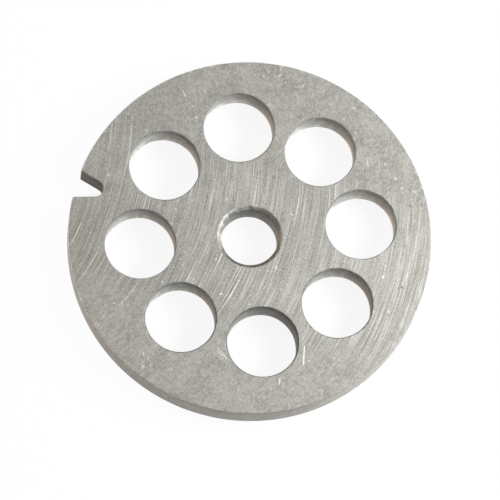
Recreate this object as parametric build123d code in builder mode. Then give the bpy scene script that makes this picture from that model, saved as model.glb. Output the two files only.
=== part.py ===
from build123d import *
from math import cos, radians
import os

# Meat grinder plate: one piece of hardened and ground steel, in millimetres.
# The origin is the bore's centre at the underside. +Z comes out of the cutting
# face, which the knife sweeps, and -X goes out through the locating notch.

# Disc
outer_diameter = 54.0
thickness = 5.0
edge_break = 0.15  # taken off every sharp edge, at 45 degrees

# Bore, which turns on the stud at the end of the feed screw
bore_diameter = 8.5
lead_in = 0.6  # width of the 45 degree lead-in at the cutting face

# Ring of holes that the meat is cut through
hole_count = 8
hole_diameter = 10.5
ring_diameter = 33.0
ring_offset = 0.35  # the ring is drilled this far off the bore's centre, towards +Y

# Notch for the pin in the grinder's mouth, midway between two holes
notch_depth = 4.2  # from the rim to the bottom of the round root
notch_root_radius = 1.25
notch_angle = 33.0  # between the flanks

rim_radius = outer_diameter / 2
bore_radius = bore_diameter / 2
half_pitch = 180 / hole_count
half_angle = notch_angle / 2
root_centre = rim_radius - notch_depth + notch_root_radius
flank_length = notch_depth / cos(radians(half_angle))  # runs out past the rim

with BuildPart() as grinder_plate:
    # Blank
    with BuildSketch():
        Circle(rim_radius)
    extrude(amount=thickness)

    # Bore and the ring of holes
    with Locations((0, 0, thickness)):
        Hole(bore_radius)
    with Locations((0, ring_offset, thickness)):
        with PolarLocations(ring_diameter / 2, hole_count, start_angle=half_pitch):
            Hole(hole_diameter / 2)

    # Locating notch: a round root, with flanks that leave it at a tangent
    with BuildSketch():
        with BuildLine():
            root = CenterArc((-root_centre, 0), notch_root_radius, 0, 90 - half_angle)
            flank = PolarLine(root @ 1, flank_length, direction=root % 1)
            Line(flank @ 1, ((flank @ 1).X, 0))
            mirror(about=Plane.XZ)
        make_face()
    extrude(amount=thickness, mode=Mode.SUBTRACT)

    # Broken edges round both faces, then the deeper lead-in into the bore
    faces_ground = grinder_plate.faces().filter_by(Axis.Z)
    chamfer(faces_ground.edges(), edge_break)
    with Locations((0, 0, thickness)):
        CounterSinkHole(bore_radius, bore_radius + lead_in, counter_sink_angle=90)

grinder_plate.part.label = "grinder_plate"

os.makedirs("parts", exist_ok=True)
export_step(grinder_plate.part, "parts/grinder_plate.step")
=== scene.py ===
import bmesh
import bpy
import math
from mathutils import Matrix, Vector


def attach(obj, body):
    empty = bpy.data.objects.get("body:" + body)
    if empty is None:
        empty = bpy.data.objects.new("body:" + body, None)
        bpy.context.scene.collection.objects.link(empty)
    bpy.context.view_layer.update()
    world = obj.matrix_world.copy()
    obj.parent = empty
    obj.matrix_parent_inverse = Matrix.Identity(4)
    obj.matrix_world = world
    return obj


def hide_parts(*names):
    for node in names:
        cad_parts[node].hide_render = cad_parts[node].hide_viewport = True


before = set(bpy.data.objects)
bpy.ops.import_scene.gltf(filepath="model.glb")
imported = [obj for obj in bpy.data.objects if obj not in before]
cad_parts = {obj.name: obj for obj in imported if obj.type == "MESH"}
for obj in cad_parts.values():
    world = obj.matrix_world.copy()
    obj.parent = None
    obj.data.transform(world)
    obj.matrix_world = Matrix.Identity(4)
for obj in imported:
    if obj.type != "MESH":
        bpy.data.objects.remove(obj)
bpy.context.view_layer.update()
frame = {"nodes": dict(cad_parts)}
print("frame loaded:", ", ".join(frame["nodes"]))

mm = 0.001


class Wire:  # one output of a node, on which arithmetic can be written
    def __init__(self, board, output):
        self.board = board
        self.output = output

    def also(self, name):  # another output of the same node
        return Wire(self.board, self.output.node.outputs[name])

    def __add__(self, other):
        return self.board.maths("ADD", self, other)

    def __radd__(self, other):
        return self.board.maths("ADD", other, self)

    def __sub__(self, other):
        return self.board.maths("SUBTRACT", self, other)

    def __rsub__(self, other):
        return self.board.maths("SUBTRACT", other, self)

    def __mul__(self, other):
        return self.board.maths("MULTIPLY", self, other)

    def __rmul__(self, other):
        return self.board.maths("MULTIPLY", other, self)

    def __truediv__(self, other):
        return self.board.maths("DIVIDE", self, other)

    def __rtruediv__(self, other):
        return self.board.maths("DIVIDE", other, self)

    def __gt__(self, other):
        return self.board.maths("GREATER_THAN", self, other)

    def __lt__(self, other):
        return self.board.maths("LESS_THAN", self, other)

    def __abs__(self):
        return self.board.maths("ABSOLUTE", self)


class Board:  # a node tree, and the ways nodes are put on it
    def __init__(self, tree):
        self.tree = tree

    def add(self, kind, settings={}, inputs={}, output=0):
        node = self.tree.nodes.new(kind)
        for name, value in settings.items():
            setattr(node, name, value)
        for name, value in inputs.items():
            for part in value if isinstance(value, list) else [value]:
                if isinstance(part, Wire):
                    self.tree.links.new(part.output, node.inputs[name])
                else:
                    node.inputs[name].default_value = part
        return Wire(self, node.outputs[output] if len(node.outputs) else None)

    def maths(self, operation, *values):
        return self.add("ShaderNodeMath", {"operation": operation}, dict(enumerate(values)))

    def vectorMaths(self, operation, *values):
        return self.add("ShaderNodeVectorMath", {"operation": operation}, dict(enumerate(values)))

    def scaled(self, vector, factor):
        return self.add("ShaderNodeVectorMath", {"operation": "SCALE"}, {0: vector, 3: factor})

    def vector(self, x, y, z):
        return self.add("ShaderNodeCombineXYZ", {}, {0: x, 1: y, 2: z})

    def parts(self, vector):
        split = self.add("ShaderNodeSeparateXYZ", {}, {0: vector})
        return split, split.also(1), split.also(2)

    def ramp(self, value, low, high, bottom=0.0, top=1.0):  # a smooth step
        settings = {"interpolation_type": "SMOOTHSTEP"}
        return self.add("ShaderNodeMapRange", settings, {0: value, 1: low, 2: high, 3: bottom, 4: top})

    def noise(self, vector, scale, detail=2.0, roughness=0.5):
        inputs = {"Vector": vector, "Scale": scale, "Detail": detail, "Roughness": roughness}
        return self.add("ShaderNodeTexNoise", {}, inputs)

    def cells(self, vector, scale):  # distance to the nearest of some scattered points
        return self.add("ShaderNodeTexVoronoi", {}, {"Vector": vector, "Scale": scale})

    def mix(self, share, first, second, way="MIX"):  # of two colours
        settings = {"data_type": "RGBA", "blend_type": way}
        return self.add("ShaderNodeMix", settings, {0: share, 6: first, 7: second}, 2)

    def circle(self, points, diameter):
        inputs = {"Resolution": points, "Radius": diameter / 2}
        return self.add("GeometryNodeCurvePrimitiveCircle", {}, inputs)

    def moveTo(self, geometry, position):
        return self.add("GeometryNodeSetPosition", {}, {"Geometry": geometry, "Position": position})

    def moveBy(self, geometry, offset):
        return self.add("GeometryNodeSetPosition", {}, {"Geometry": geometry, "Offset": offset})

    def rounded(self, curve, radius, count, limit):
        inputs = {"Curve": curve, "Radius": radius, "Count": count, "Limit Radius": limit}
        return self.add("GeometryNodeFilletCurve", {"mode": "POLY"}, inputs)

    def keep(self, geometry, name, value):  # a vector on the points, for a later node or a material
        inputs = {"Geometry": geometry, "Name": name, "Value": value}
        return self.add("GeometryNodeStoreNamedAttribute", {"data_type": "FLOAT_VECTOR"}, inputs)

    def kept(self, name):
        return self.add("GeometryNodeInputNamedAttribute", {"data_type": "FLOAT_VECTOR"}, {"Name": name})

    def setMaterial(self, geometry, material, where=True):
        inputs = {"Geometry": geometry, "Selection": where, "Material": material}
        return self.add("GeometryNodeSetMaterial", {}, inputs)


def startMaterial(name):
    material = bpy.data.materials.new(name)
    material.use_nodes = True
    material.node_tree.nodes.clear()
    board = Board(material.node_tree)
    place = board.add("ShaderNodeTexCoord", {}, {}, "Object")
    return material, board, board.scaled(place, 1 / mm)


def finishMaterial(board, values, colour, metallic, roughness, height):
    bumped = {"Strength": 1.0, "Distance": values["depth"] * mm, "Height": height}
    bump = board.add("ShaderNodeBump", {}, bumped)
    inputs = {"Base Color": colour, "Metallic": metallic, "Roughness": roughness, "Normal": bump}
    inputs["Specular IOR Level"] = values["specular"]
    shader = board.add("ShaderNodeBsdfPrincipled", {}, inputs)
    board.add("ShaderNodeOutputMaterial", {}, {"Surface": shader})


groundFace = {  # lengths in millimetres
    "steel": (0.422, 0.415, 0.382, 1),
    "tint": (0.422, 0.406, 0.364, 1),
    "metallic": 0.3,
    "roughness": 0.64,
    "specular": 0.4,
    "depth": 0.003,
    "toneDepth": 0.43,  # how much the marks change the colour
    "level": -0.045,  # lightens or darkens the whole face
    "bandMiddle": -1.0,  # the grinding lines show in a band round this y,
    "bandInner": 8.5,  # in full up to this far from it,
    "bandOuter": 15.5,  # and hardly beyond this
    "lineContrast": 0.55,
    "grainContrast": 1.65,
    "mottleContrast": 0.6,
    "cloudContrast": 0.25,
    "blotContrast": 0.22,
    # these five paint light and shade: sheen on the band of lines, and more towards the right and the
    # back
    "bandLight": 0.14,  # the band of lines is this much lighter than the rest
    "bandLightRight": 0.03,  # and this much more on the right
    "restShadeRight": 0.05,  # the rest is this much darker on the right
    "backShade": 0.05,  # the part behind the band is this much darker
    "backShadeLeft": 0.085,  # and this much on the left
    "scratchLight": 0.8,
    "fleckLight": 0.65,
    "pitShade": 0.5,
    # passes of the grinding wheel: radius of the arcs and their middle, lines across and along a
    # millimetre, lowest and highest grain, its usual share, strength on the left and on the right
    "passes": [
        {"radius": 46.0, "middle": 1.0, "across": 3.2, "along": 0.035,
         "low": 0.59, "high": 0.66, "usual": 0.15, "left": 2.1, "right": 0.7},
        {"radius": 58.0, "middle": -1.0, "across": 5.6, "along": 0.07,
         "low": 0.40, "high": 0.62, "usual": 0.45, "left": 0.55, "right": 0.66},
        {"radius": 44.0, "middle": -2.0, "across": 6.5, "along": 0.16,
         "low": 0.50, "high": 0.66, "usual": 0.33, "left": 0.7, "right": 0.9},
    ],
    # rubs: the way they run in degrees, lines across and along a millimetre, strength
    "rubs": [
        {"way": 57, "across": 3.8, "along": 0.3, "strength": 0.28},
        {"way": 125, "across": 3.2, "along": 0.4, "strength": 0.16},
        {"way": 97, "across": 4.2, "along": 0.25, "strength": 0.26},
    ],
    # scratches: from x, y to x, y, half width, brightness
    "scratches": [
        (12.4, -13.7, 13.05, -16.4, 0.15, 1.2),
        (0.4, -18.2, 1.2, -18.7, 0.12, 0.7),
        (0.3, -17.8, 0.8, -18.1, 0.10, 0.6),
        (0.9, -18.1, 1.9, -18.9, 0.12, 0.6),
        (1.6, -18.6, 2.5, -19.3, 0.11, 0.5),
        (1.3, -19.0, 2.3, -19.6, 0.10, 0.5),
        (0.7, -18.9, 1.3, -19.3, 0.09, 0.4),
        (10.35, -19.5, 10.45, -20.3, 0.14, 1.1),
        (-15.9, 18.5, -15.3, 17.9, 0.16, 0.6),
        (13.4, 16.4, 13.8, 15.6, 0.12, 0.7),
        (5.0, -3.3, 5.1, -3.6, 0.16, 0.8),
        (6.7, -6.2, 6.7, -6.6, 0.10, 0.7),
        (-10.0, -21.6, -9.9, -22.1, 0.12, 0.7),
        (-9.2, -22.0, -9.1, -22.5, 0.12, 0.6),
        (-8.5, -23.0, -8.4, -23.4, 0.12, 0.5),
        (-9.6, -23.6, -9.5, -24.0, 0.12, 0.5),
        (-17.6, -19.5, -17.5, -19.9, 0.12, 0.5),
        (-12.8, -18.9, -12.8, -19.3, 0.11, 0.5),
        (-15.3, -15.0, -15.2, -15.6, 0.12, 0.6),
        (-2.9, 25.0, -2.6, 25.4, 0.13, 0.8),
        (1.0, 24.6, 1.2, 25.0, 0.12, 0.7),
        (4.1, 24.7, 4.2, 25.0, 0.12, 0.6),
        (-2.9, 22.5, -2.7, 22.1, 0.11, 0.6),
    ],
}


# the lightness of the arcs in the colour is partly the marks themselves and partly painted sheen
def grindingLinesAndSheen(board, x, y, rightward):  # the arcs that each pass of the wheel leaves
    lines = 0.0
    for number, wheel in enumerate(groundFace["passes"]):
        radius = wheel["radius"]
        rise = y - wheel["middle"]
        over = x + radius - board.maths("SQRT", radius * radius - rise * rise)
        spot = board.vector(over * wheel["across"], rise * wheel["along"], 7.3 * number)
        grain = board.ramp(board.noise(spot, 1.0, 3.0, 0.65), wheel["low"], wheel["high"])
        strength = rightward * (wheel["right"] - wheel["left"]) + wheel["left"]
        lines = lines + (grain - wheel["usual"]) * strength
    return lines


def rubMarks(board, x, y):  # straight, short and faint
    rubs = 0.0
    for number, rub in enumerate(groundFace["rubs"]):
        cosine, sine = math.cos(math.radians(rub["way"])), math.sin(math.radians(rub["way"]))
        over, rise = y * cosine - x * sine, x * cosine + y * sine
        spot = board.vector(over * rub["across"], rise * rub["along"], 31.0 + number)
        grain = board.ramp(board.noise(spot, 1.0, 2.0, 0.6), 0.58, 0.70)
        rubs = rubs + (grain - 0.15) * rub["strength"]
    return rubs


def scratchMarks(board, x, y):  # each is bright within its half width of a short line
    marks = 0.0
    for x0, y0, x1, y1, width, strength in groundFace["scratches"]:
        length = math.hypot(x1 - x0, y1 - y0)
        dx, dy = (x1 - x0) / length, (y1 - y0) / length
        along = (x - x0) * dx + (y - y0) * dy
        aside = (x - x0) * dy - (y - y0) * dx
        past = board.maths("MAXIMUM", abs(along - length / 2) - length / 2, 0.0)
        away = board.maths("SQRT", past * past + aside * aside)
        marks = marks + board.ramp(away, width, width * 0.3) * strength
    return marks


def makeGroundFace():
    values = groundFace
    material, board, place = startMaterial("ground face")
    x, y = board.parts(place)[:2]
    rightward = board.ramp(x, -12.0, 20.0)
    # the lines show in the band, in patches, and less at its far left
    # their lightness is partly the wheel's marks and partly painted sheen
    shown = board.ramp(abs(y - values["bandMiddle"]), values["bandOuter"], values["bandInner"])
    shown = shown * (1 - board.ramp(x, -16.0, -20.0) * board.ramp(y, 0.5, 4.0) * 0.6)
    shown = shown * board.ramp(board.noise(place, 0.35), 0.35, 0.6, 0.5, 1.0) * 0.85 + 0.12
    lines = grindingLinesAndSheen(board, x, y, rightward) * shown
    # short dashes of the last, lighter pass all over
    dashes = board.noise(board.vector(x * 4.8 + y * 0.5, y * 3.2, 3.0), 1.0, 3.0, 0.7) - 0.5
    # rubs on the parts without lines, in patches and weaker on the left
    rubs = rubMarks(board, x, y) * (1.1 - shown)
    rubs = rubs * board.ramp(board.noise(place, 0.3), 0.42, 0.6)
    rubs = rubs * board.ramp(x, -18.0, -9.0, 0.3, 1.0)
    scratched = scratchMarks(board, x, y)
    # small bright flecks, and a few dark pits towards the right and the back
    wobble = board.noise(place, 2.0).also("Color")
    loose = board.vectorMaths("ADD", place, board.scaled(wobble, 0.9))
    flecks = board.cells(loose, 0.9)
    chosen = board.parts(flecks.also("Color"))[0]
    fleck = board.ramp(flecks, 0.20, 0.07) * board.ramp(chosen, 0.5, 0.95)
    pit = board.ramp(board.cells(loose, 0.26), 0.07, 0.03) * board.ramp(x + y, -14.0, 10.0)
    # soft unevenness, from wide clouds down to fine mottle
    cloud = board.noise(place, 0.22, 3.0) - 0.5
    blots = board.ramp(board.noise(place, 1.0, 3.0, 0.7), 0.60, 0.76)
    mottle = (board.noise(place, 1.9, 2.0, 0.5) - 0.5) * (1.1 - shown)
    shade = lines * values["lineContrast"] + cloud * values["cloudContrast"] + rubs + values["level"]
    # painted sheen on the band of lines, and painted light and shade towards the right and the back
    shade = shade + shown * (rightward * values["bandLightRight"] + values["bandLight"])
    shade = shade - (1 - shown) * rightward * values["restShadeRight"]
    backPaintedShade = board.ramp(x, 2.0, -10.0, values["backShade"], values["backShadeLeft"])
    shade = shade - board.ramp(y, 2.0, 18.0) * backPaintedShade
    shade = shade + blots * values["blotContrast"] + mottle * values["mottleContrast"]
    shade = shade + dashes * values["grainContrast"] * (0.70 + shown * 0.12)
    shade = shade + scratched * values["scratchLight"] + fleck * values["fleckLight"]
    shade = shade - pit * values["pitShade"]
    # the steel is tinted towards the front left, and its marks are greyer than it
    colour = board.mix(board.ramp(x * -0.8 + y * -0.6, 12.0, 27.0), values["steel"], values["tint"])
    tone = shade * values["toneDepth"]
    colour = board.vectorMaths("ADD", colour, board.vector(tone, tone * 0.995, tone * 0.98))
    roughness = values["roughness"] + dashes * 0.3 - lines * 0.06 + scratched * 0.15
    metallic = values["metallic"] - scratched * 0.45 - fleck * 0.3
    height = lines + dashes * 0.8 - scratched * 0.6 - pit
    finishMaterial(board, values, colour, metallic, roughness, height)
    return material


# the finishes of the walls: colours of the steel and of its stain, which on walls that face -X also
# serves as painted shade, how far the stain spreads in patches, "lines" in a millimetre of height,
# "contrast" of lines and grain, "patchy" for that of rubbed patches, and "depth" of the bump in
# millimetres these multiply the colour as painted light and shade: "upper" near the top, "brink" right
# under the top face, "lower" near the bottom, and "left", "right", "front" and "back" on a wall that
# faces -X, +X, -Y or
# +Y, from "onset" on
# "dim" paints shade on walls that lie towards the front, "topShade" paints more shade towards the top on
# walls that face -X, "edgeLight" paints a highlight on the broken edges that face -X, and "edgeShade"
# paints shade on the others
wallFinishes = {
    "turned rim": {
        "steel": (0.48, 0.462, 0.42, 1), "stain": (0.46, 0.41, 0.345, 1), "stained": 0.25,
        "metallic": 0.6, "roughness": 0.55, "specular": 0.3,
        "lines": 1.3, "contrast": 0.35, "patchy": 0.3, "depth": 0.004,
        "upper": 1.0, "brink": 1.0, "lower": 1.0, "dim": 0.0,
        "left": 1.05, "right": 0.97, "front": 0.78, "back": 1.0, "onset": 0.55,
        "topShade": 0.2, "edgeLight": 1.4, "edgeShade": 0.3,
    },
    "drilled hole": {
        "steel": (0.50, 0.497, 0.472, 1), "stain": (0.365, 0.31, 0.25, 1), "stained": 0.3,
        "metallic": 0.3, "roughness": 0.6, "specular": 0.2,
        "lines": 1.0, "contrast": 0.4, "patchy": 0.5, "depth": 0.006,
        "upper": 0.72, "brink": 0.72, "lower": 1.55, "dim": 0.5,
        "left": 1.42, "right": 1.04, "front": 1.0, "back": 1.0, "onset": 0.2,
        "topShade": 0.0, "edgeLight": 0.3, "edgeShade": 0.0,
    },
    "turned lead-in": {
        "steel": (0.56, 0.555, 0.53, 1), "stain": (0.52, 0.43, 0.33, 1), "stained": 0.3,
        "metallic": 0.55, "roughness": 0.42, "specular": 0.5,
        "lines": 6.0, "contrast": 0.8, "patchy": 1.15, "depth": 0.004,
        "upper": 1.0, "brink": 1.0, "lower": 1.0, "dim": 0.0,
        "left": 1.1, "right": 0.95, "front": 1.0, "back": 0.5, "onset": 0.2,
        "topShade": 0.0, "edgeLight": 0.3, "edgeShade": 0.0,
    },
    "reamed bore": {
        # the bore's steel is darkened as painted reflection, for the dark that the bore reflects
        "steel": (0.21, 0.207, 0.194, 1), "stain": (0.215, 0.16, 0.115, 1), "stained": 0.3,
        "metallic": 0.5, "roughness": 0.45, "specular": 0.3,
        "lines": 2.4, "contrast": 1.5, "patchy": 1.0, "depth": 0.006,
        "upper": 0.75, "brink": 1.0, "lower": 1.1, "dim": 0.0,
        "left": 0.88, "right": 1.35, "front": 0.56, "back": 1.1, "onset": 0.2,
        "topShade": 0.0, "edgeLight": 0.3, "edgeShade": 0.0,
    },
    "milled notch": {
        "steel": (0.40, 0.36, 0.30, 1), "stain": (0.22, 0.175, 0.13, 1), "stained": 0.5,
        "metallic": 0.3, "roughness": 0.6, "specular": 0.2,
        "lines": 1.9, "contrast": 1.9, "patchy": 0.3, "depth": 0.010,
        "upper": 1.25, "brink": 1.0, "lower": 0.4, "dim": 0.0,
        "left": 0.6, "right": 1.0, "front": 0.87, "back": 1.0, "onset": 0.2,
        "topShade": 0.0, "edgeLight": 0.3, "edgeShade": 0.0,
    },
}
# the broken edges of every wall: bare steel and its share, how much less stain and painted shade, and
# how much less metallic
bareEdge = {"steel": (0.47, 0.468, 0.45, 1), "share": 0.7, "lessStainAndShade": 0.6, "lessMetallic": 0.8}
# where each change starts and where it is complete, in millimetres above the underside,
# and for an edge in millimetres from a face
wallHeights = {
    "upper": (2.6, 4.4),
    "brink": (4.45, 4.8),
    "lower": (2.8, 0.2),
    "topShade": (3.2, 4.9),
    "edge": (0.22, 0.14),
}


def makeWall(name):
    values = wallFinishes[name]
    material, board, place = startMaterial(name)
    x, y, z = board.parts(place)
    outward = board.add("ShaderNodeAttribute", {"attribute_name": "outward"}, {}, "Vector")
    facing, ahead = board.parts(outward)[:2]
    rings = board.noise(board.vector(x * 0.25, y * 0.25, z * values["lines"]), 1.0, 3.0, 0.6)
    grain = board.noise(place, 3.5, 2.0, 0.6)
    rubbed = board.noise(board.vector(x * 1.1, y * 1.1, z * 0.5 + 4), 1.0, 3.0, 0.6)
    middle = plate["thickness"] / 2
    edgeStart, edgeFull = wallHeights["edge"]
    edge = board.ramp(abs(z - middle), middle - edgeStart, middle - edgeFull)
    # stain lies in patches; on walls that face -X its colour lies all over as painted shade, more to the
    # top
    spread = values["stained"] * 0.3
    stain = board.ramp(board.noise(place, 0.45, 3.0, 0.6), 0.62 - spread, 0.80 - spread)
    shadySide = board.ramp(facing, 0.5, -0.8)
    paintedShade = shadySide * board.ramp(z, *wallHeights["topShade"], 1.0, 1 + values["topShade"])
    stain = board.maths("MAXIMUM", stain * 0.6, paintedShade) * (1 - edge * bareEdge["lessStainAndShade"])
    colour = board.mix(stain, values["steel"], values["stain"])
    colour = board.mix(edge * bareEdge["share"], colour, bareEdge["steel"])
    light = 1 + ((rings - 0.5) * 1.6 + (grain - 0.5) * 0.5) * values["contrast"]
    light = light + (board.ramp(rubbed, 0.45, 0.65) - 0.4) * values["patchy"] * 0.5
    # painted light and shade by height, and painted shade on walls that lie towards the front
    for part in ("upper", "brink"):
        light = light * board.ramp(z, *wallHeights[part], 1.0, values[part])
    frontward = board.ramp(x * 0.45 - y * 0.9, 5.0, 17.0)
    low = board.ramp(z, *wallHeights["lower"])
    light = light * (1 + low * (values["lower"] - 1) * (1 - frontward))
    light = light * (1 - frontward * values["dim"])
    # painted light and shade by the way each wall faces
    ways = {"left": facing * -1, "right": facing, "front": ahead * -1, "back": ahead}
    for way, amount in ways.items():
        light = light * board.ramp(amount, values["onset"], 1.0, 1.0, values[way])
    # a painted highlight on the broken edges that face -X, and painted shade on the others
    edgeHighlightAndShade = shadySide * (values["edgeLight"] + values["edgeShade"]) - values["edgeShade"]
    light = light * (1 + edge * edgeHighlightAndShade)
    colour = board.mix(1.0, colour, board.vector(light, light, light), "MULTIPLY")
    roughness = values["roughness"] + (rings - 0.5) * 0.3
    metallic = values["metallic"] * (1 - edge * bareEdge["lessMetallic"])
    finishMaterial(board, values, colour, metallic, roughness, rings + grain * 0.4)
    return material


plate = {  # millimetres and degrees, whole numbers for counts, and plain shares
    "outerDiameter": 53.99,
    "thickness": 5.0,
    "edgeBreak": 0.15,
    "rimBreakShare": 0.6,  # the top edge of the rim is broken by this much of that
    "roundingShare": 0.5,  # and this much of it is the radius at both sides of every edge break
    "shelf": 0.1,  # flat ring between an edge break and the rest of a face
    "boreDiameter": 8.5,
    "leadIn": 0.6,
    "holeCount": 8,
    "holeDiameter": 10.5,
    "ringDiameter": 33.0,
    "ringOffset": 0.35,  # the ring of holes lies this far towards +Y
    "notchDepth": 4.15,
    "rootRadius": 1.23,
    "notchAngle": 32.9,
    "notchShift": 0.37,  # the point where the flanks would meet lies this far towards +Y
    "notchLean": 1.95,  # the notch turns this far back towards the middle on its way out
    "mouthRadius": 0.2,  # the two corners of the notch's mouth are worn round
    "notchStart": 21.0,  # where the walls of the notch are: beyond this towards -X,
    "notchHalfWidth": 2.6,  # within this on both sides,
    "sharpReach": 26.75,  # within this round the bore for its sharper edges,
    "milledReach": 26.85,  # and within this for its finish
    "rimWearShare": 0.4,  # how unevenly the edge breaks have worn, 0 for not at all
    "holeWearShare": 1.0,
    "boreWearShare": 0.15,
    "notchSharpShare": 0.35,  # the edges of the notch are broken this much less
    "rimPoints": 360,
    "rootPoints": 24,
    "mouthPoints": 8,
    "pointSpacing": 0.12,
    "holePoints": 180,
    "borePoints": 160,
    "seed": 5,
}
faceSlope = 0.85  # what faces up or down more than this is part of a face, not of a wall
bevelSlope = 0.3  # and what faces up less than this isn't part of the lead-in
mergeDistance = 0.002  # millimetres


def spaced(name):  # edgeBreak becomes Edge break
    words = "".join(" " + letter.lower() if letter.isupper() else letter for letter in name)
    return words[0].upper() + words[1:]


def inMetres(name, value):  # a size as Blender wants it: in metres, in radians, or as it is
    if isinstance(value, int) or name.endswith("Share"):
        return value
    if name in ("notchAngle", "notchLean"):
        return math.radians(value)
    return value * mm


def facingUp(board):
    return board.parts(board.add("GeometryNodeInputNormal"))[2]


def withinNotch(board, size, reach):
    x, y = board.parts(board.add("GeometryNodeInputPosition"))[:2]
    near = board.maths("SQRT", x * x + y * y) < reach
    return (x < size["notchStart"] * -1) * (abs(y) < size["notchHalfWidth"]) * near


def wallProfile(board, size, topBreak):
    # six points, from the shelf on the top face down to the one on the underside
    line = board.add("GeometryNodeCurvePrimitiveLine")
    line = board.add("GeometryNodeResampleCurve", {"mode": "COUNT"}, {"Curve": line, "Count": 6})
    index = board.add("GeometryNodeInputIndex")
    upper = index < 2.5
    onFace = abs(index - 2.5) > 1.0
    atEnd = abs(index - 2.5) > 2.0
    bevel = upper * topBreak + (1 - upper) * size["edgeBreak"]
    out = 0 - onFace * bevel - atEnd * size["shelf"]
    level = upper * size["thickness"] + (1 - onFace) * (1 - upper * 2) * bevel
    line = board.moveTo(line, board.vector(out, level * -1, 0.0))
    # how far each point lies from the sharp corner that its edge break takes away
    line = board.keep(line, "corner", board.vector(out * atEnd, upper * size["thickness"] * -1, 0.0))
    rounding = (atEnd < 0.5) * size["edgeBreak"] * size["roundingShare"]
    line = board.rounded(line, rounding, 2, True)
    position = board.add("GeometryNodeInputPosition")
    return board.keep(line, "reach", board.vectorMaths("SUBTRACT", position, board.kept("corner")))


def wall(board, rail, size, topBreak, wear, material, face):
    line = wallProfile(board, size, topBreak)
    rail = board.add("GeometryNodeSetCurveNormal", {"mode": "Z_UP"}, {"Curve": rail})
    rail = board.keep(rail, "outward", board.add("GeometryNodeInputNormal"))
    mesh = board.add("GeometryNodeCurveToMesh", {}, {"Curve": rail, "Profile Curve": line})
    # wear: each edge break grows and shrinks along its edge, in slow waves and quick nicks
    place = board.scaled(board.add("GeometryNodeInputPosition"), 1 / mm)
    place = board.vectorMaths("ADD", place, board.vector(size["seed"], size["seed"] * 0.7, 0.0))
    waves = (board.noise(place, 0.45, 2.0) - 0.5) * 1.5
    nicks = board.ramp(board.noise(place, 1.5, 2.0), 0.62, 0.78) * 0.7
    growth = (waves + nicks) * wear
    growth = growth - withinNotch(board, size, size["sharpReach"]) * size["notchSharpShare"]
    least, most = -0.6, 0.55  # as shares of an edge break, so that it keeps within its shelf
    growth = board.maths("MINIMUM", board.maths("MAXIMUM", growth, least), most)
    reachOut, reachDown = board.parts(board.kept("reach"))[:2]
    aside = board.scaled(board.kept("outward"), reachOut * growth)
    down = board.vector(0.0, 0.0, reachDown * growth * -1)
    mesh = board.moveBy(mesh, board.vectorMaths("ADD", aside, down))
    mesh = board.setMaterial(mesh, material)
    mesh = board.setMaterial(mesh, face, abs(facingUp(board)) > faceSlope)
    for name in ("corner", "reach"):
        mesh = board.add("GeometryNodeRemoveAttribute", {}, {"Geometry": mesh, "Name": name})
    return mesh


def mouthAngle(board, rimRadius, point, shift, turn):  # where a flank meets the rim
    sine = board.maths("SINE", turn)
    cosine = board.maths("COSINE", turn)
    along = point * cosine + shift * sine
    rest = rimRadius * rimRadius - point * point - shift * shift
    flank = board.maths("SQRT", along * along + rest) - along
    return board.maths("ARCTAN2", shift + flank * sine, point + flank * cosine)


def rimRail(board, size):
    # a polygon with the point of the notch as its first corner, then rounded at the root and the mouth
    index = board.add("GeometryNodeInputIndex")
    rimRadius = size["outerDiameter"] / 2
    points = size["rimPoints"]
    half = size["notchAngle"] / 2
    root = size["rootRadius"]
    shift = size["notchShift"]
    point = rimRadius - size["notchDepth"] + root - root / board.maths("SINE", half)
    upper = mouthAngle(board, rimRadius, point, shift, half - size["notchLean"])
    lower = mouthAngle(board, rimRadius, point, shift * -1, half + size["notchLean"])
    first = index < 0.5
    beside = (abs(index - points / 2) > points / 2 - 1.5) * (1 - first)
    turn = lower + (index - 1) * (2 * math.pi - lower - upper) / (points - 2)
    across = (1 - first) * board.maths("COSINE", turn) * rimRadius + first * point
    upwards = first * shift - (1 - first) * board.maths("SINE", turn) * rimRadius
    rim = board.moveTo(board.circle(points, 2.0), board.vector(across * -1, upwards, 0.0))
    radius = first * root + beside * size["mouthRadius"]
    count = first * (size["rootPoints"] - 1) + beside * (size["mouthPoints"] - 1) + 1
    rim = board.rounded(rim, radius, count, False)
    inputs = {"Curve": rim, "Length": size["pointSpacing"]}
    return board.add("GeometryNodeResampleCurve", {"mode": "LENGTH"}, inputs)


def holeRails(board, size):
    hole = board.circle(size["holePoints"], size["holeDiameter"])
    inputs = {"Vertices": size["holeCount"], "Radius": size["ringDiameter"] / 2}
    ring = board.add("GeometryNodeMeshCircle", {}, inputs)
    moved = board.vector(0.0, size["ringOffset"], 0.0)
    turned = board.vector(0.0, 0.0, math.pi / size["holeCount"])  # the notch lies between two holes
    inputs = {"Geometry": ring, "Translation": moved, "Rotation": turned}
    ring = board.add("GeometryNodeTransform", {}, inputs)
    holes = board.add("GeometryNodeInstanceOnPoints", {}, {"Points": ring, "Instance": hole})
    holes = board.add("GeometryNodeRealizeInstances", {}, {"Geometry": holes})
    return board.add("GeometryNodeReverseCurve", {}, {"Curve": holes})


def facesBetween(board, size, walls, face):  # fill the top and the bottom between the walls' open edges
    gap = board.add("GeometryNodeInputMeshEdgeNeighbors") < 1.5
    height = board.parts(board.add("GeometryNodeInputPosition"))[2]
    middle = size["thickness"] / 2
    faces = []
    for top in (True, False):
        chosen = gap * (height > middle if top else height < middle)
        loops = board.add("GeometryNodeMeshToCurve", {}, {"Mesh": walls, "Selection": chosen})
        filled = board.add("GeometryNodeFillCurve", {"mode": "TRIANGLES"}, {"Curve": loops})
        filled = board.moveBy(filled, board.vector(0.0, 0.0, size["thickness"] if top else 0.0))
        if not top:
            filled = board.add("GeometryNodeFlipFaces", {}, {"Mesh": filled})
        faces.append(board.setMaterial(filled, face))
    return faces


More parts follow.
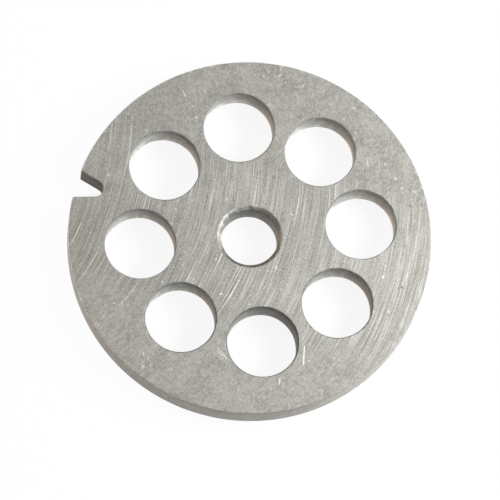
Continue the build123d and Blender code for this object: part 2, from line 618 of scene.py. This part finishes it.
def plateTree(materials):
    tree = bpy.data.node_groups.new("plateRule", "GeometryNodeTree")
    board = Board(tree)
    entry = board.add("NodeGroupInput")
    size = {}
    for name, value in plate.items():
        kind = "NodeSocketInt" if isinstance(value, int) else "NodeSocketFloat"
        tree.interface.new_socket(name=spaced(name), in_out="INPUT", socket_type=kind)
        size[name] = entry.also(spaced(name))
    tree.interface.new_socket(name="Geometry", in_out="OUTPUT", socket_type="NodeSocketGeometry")
    face = materials["ground face"]
    rim = rimRail(board, size)
    rimBreak = size["edgeBreak"] * size["rimBreakShare"]
    rim = wall(board, rim, size, rimBreak, size["rimWearShare"], materials["turned rim"], face)
    milled = withinNotch(board, size, size["milledReach"]) * (abs(facingUp(board)) < faceSlope)
    rim = board.setMaterial(rim, materials["milled notch"], milled)
    holes = holeRails(board, size)
    drilled = materials["drilled hole"]
    holes = wall(board, holes, size, size["edgeBreak"], size["holeWearShare"], drilled, face)
    bore = board.circle(size["borePoints"], size["boreDiameter"])
    bore = board.add("GeometryNodeReverseCurve", {}, {"Curve": bore})
    reamed = materials["reamed bore"]
    bore = wall(board, bore, size, size["leadIn"], size["boreWearShare"], reamed, face)
    up = facingUp(board)
    bore = board.setMaterial(bore, materials["turned lead-in"], (up > bevelSlope) * (up < faceSlope))
    walls = board.add("GeometryNodeJoinGeometry", {}, {"Geometry": [rim, holes, bore]})
    pieces = [walls] + facesBetween(board, size, walls, face)
    whole = board.add("GeometryNodeJoinGeometry", {}, {"Geometry": pieces})
    whole = board.add("GeometryNodeRealizeInstances", {}, {"Geometry": whole})
    inputs = {"Geometry": whole, "Distance": mergeDistance * mm}
    whole = board.add("GeometryNodeMergeByDistance", {}, inputs)
    whole = board.add("GeometryNodeSetShadeSmooth", {}, {"Geometry": whole})
    board.add("NodeGroupOutput", {}, {"Geometry": whole})
    return tree


def makePlate():
    materials = {name: makeWall(name) for name in wallFinishes}
    materials["ground face"] = makeGroundFace()
    print("materials:", ", ".join(materials))
    blank = bpy.data.objects.new("blank", bpy.data.meshes.new("blank"))
    bpy.context.scene.collection.objects.link(blank)
    modifier = blank.modifiers.new("rule", "NODES")
    modifier.node_group = plateTree(materials)
    sockets = {item.name: item for item in modifier.node_group.interface.items_tree}
    for name, value in plate.items():
        modifier[sockets[spaced(name)].identifier] = inMetres(name, value)
    bpy.context.view_layer.update()
    graph = bpy.context.evaluated_depsgraph_get()
    mesh = bpy.data.meshes.new_from_object(blank.evaluated_get(graph))
    bpy.data.objects.remove(blank)
    mesh.name = "plate"
    piece = bpy.data.objects.new("plate", mesh)
    bpy.context.scene.collection.objects.link(piece)
    return piece


def reportPlate(mesh):
    check = bmesh.new()
    check.from_mesh(mesh)
    gaps = sum(1 for edge in check.edges if len(edge.link_faces) != 2)
    volume = round(check.calc_volume(signed=True) / mm ** 3, 1)
    counts = f"{len(check.verts)} vertices, {len(check.faces)} faces, {gaps} open edges"
    print("plate:", counts + ",", volume, "cubic millimetres")
    check.free()


piece = makePlate()
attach(piece, "root")
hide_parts("grinder_plate")
reportPlate(piece.data)


stage = {  # metres, and millimetres for where the glow changes
    "radius": 2.0,
    "sides": 96,
    "white": 0.92,
    "glowBelow": 0.90,  # share of the glow under the plate, and around it
    "glowAround": 0.97,
    "changeFrom": 21.0,
    "changeTo": 28.0,
}


def makeFloor():
    material, board, place = startMaterial("floor")
    rays = board.add("ShaderNodeLightPath")
    seen = board.maths("MAXIMUM", rays.also("Is Camera Ray"), rays.also("Is Glossy Ray"))
    seen = board.maths("MAXIMUM", seen, rays.also("Is Transmission Ray"))
    away = board.vectorMaths("LENGTH", place).also("Value")
    span = stage["changeFrom"], stage["changeTo"]
    share = board.ramp(away, *span, stage["glowBelow"], stage["glowAround"])
    white = stage["white"]
    card = board.add("ShaderNodeBsdfDiffuse", {}, {"Color": (white, white, white, 1)})
    glow = board.add("ShaderNodeEmission", {}, {"Color": (1, 1, 1, 1), "Strength": 1.0})
    shader = board.add("ShaderNodeMixShader", {}, {0: seen * share, 1: card, 2: glow})
    board.add("ShaderNodeOutputMaterial", {}, {"Surface": shader})
    shape = bmesh.new()
    bmesh.ops.create_circle(shape, cap_ends=True, segments=stage["sides"], radius=stage["radius"])
    mesh = bpy.data.meshes.new("floor")
    shape.to_mesh(mesh)
    shape.free()
    mesh.materials.append(material)
    floor = bpy.data.objects.new("floor", mesh)
    bpy.context.scene.collection.objects.link(floor)
    print("floor: a white card of", stage["radius"], "metres in radius")


makeFloor()


studio = {
    "ambient": 0.0,  # grey of the world
    # place by azimuth and elevation in degrees and distance in metres, size in metres, watts
    "lamps": {
        "near": {"azimuth": 17, "elevation": 40, "distance": 0.2, "size": 0.1, "power": 0.55},
        "back": {"azimuth": 155, "elevation": 53, "distance": 0.6, "size": 0.26, "power": 0.85},
        "side": {"azimuth": 20, "elevation": 20, "distance": 0.6, "size": 0.26, "power": 0.64},
        "front": {"azimuth": -15, "elevation": 50, "distance": 0.6, "size": 0.26, "power": 0.52},
        "low": {"azimuth": 180, "elevation": 8, "distance": 0.6, "size": 0.26, "power": 0.4},
    },
}


def makeLight():
    for name, lamp in studio["lamps"].items():
        light = bpy.data.lights.new(name, "AREA")
        light.shape = "DISK"
        light.size = lamp["size"]
        light.energy = lamp["power"]
        holder = bpy.data.objects.new(name, light)
        azimuth, elevation = math.radians(lamp["azimuth"]), math.radians(lamp["elevation"])
        flat = math.cos(elevation)
        place = Vector((math.cos(azimuth) * flat, math.sin(azimuth) * flat, math.sin(elevation)))
        place = place * lamp["distance"]
        holder.location = place
        holder.rotation_mode = "QUATERNION"
        holder.rotation_quaternion = (-place).to_track_quat("-Z", "Y")
        holder.visible_camera = False
        bpy.context.scene.collection.objects.link(holder)
    world = bpy.data.worlds.new("studio")
    world.use_nodes = True
    ambient = studio["ambient"]
    background = world.node_tree.nodes["Background"]
    background.inputs["Color"].default_value = (ambient, ambient, ambient, 1)
    bpy.context.scene.world = world
    print("light:", ", ".join(studio["lamps"]))


makeLight()


camera = {  # millimetres and degrees
    "aim": (0.585, -2.021, 5.005),
    "distance": 741.29,
    "azimuth": 2.897,
    "elevation": 75.007,
    "roll": 13.939,
    "lens": 360.0,
    "sensorWidth": 36.0,
    "farthest": 10000.0,
}


def makeCamera():
    azimuth, elevation, roll = (math.radians(camera[name]) for name in ("azimuth", "elevation", "roll"))
    flat = math.cos(elevation)
    back = Vector((math.sin(azimuth) * flat, -math.cos(azimuth) * flat, math.sin(elevation)))
    level = Vector((0, 0, 1)).cross(back).normalized()
    right = Matrix.Rotation(roll, 3, back) @ level
    up = back.cross(right)
    data = bpy.data.cameras.new("camera")
    data.lens = camera["lens"]
    data.sensor_width = camera["sensorWidth"]
    data.clip_end = camera["farthest"] * mm
    holder = bpy.data.objects.new("camera", data)
    turn = Matrix((right, up, back)).transposed().to_4x4()
    place = (Vector(camera["aim"]) + back * camera["distance"]) * mm
    holder.matrix_world = Matrix.Translation(place) @ turn
    bpy.context.scene.collection.objects.link(holder)
    bpy.context.scene.camera = holder
    print("camera:", round(camera["distance"]), "millimetres away, lens", camera["lens"])


makeCamera()
bpy.context.scene.view_settings.view_transform = "Standard"
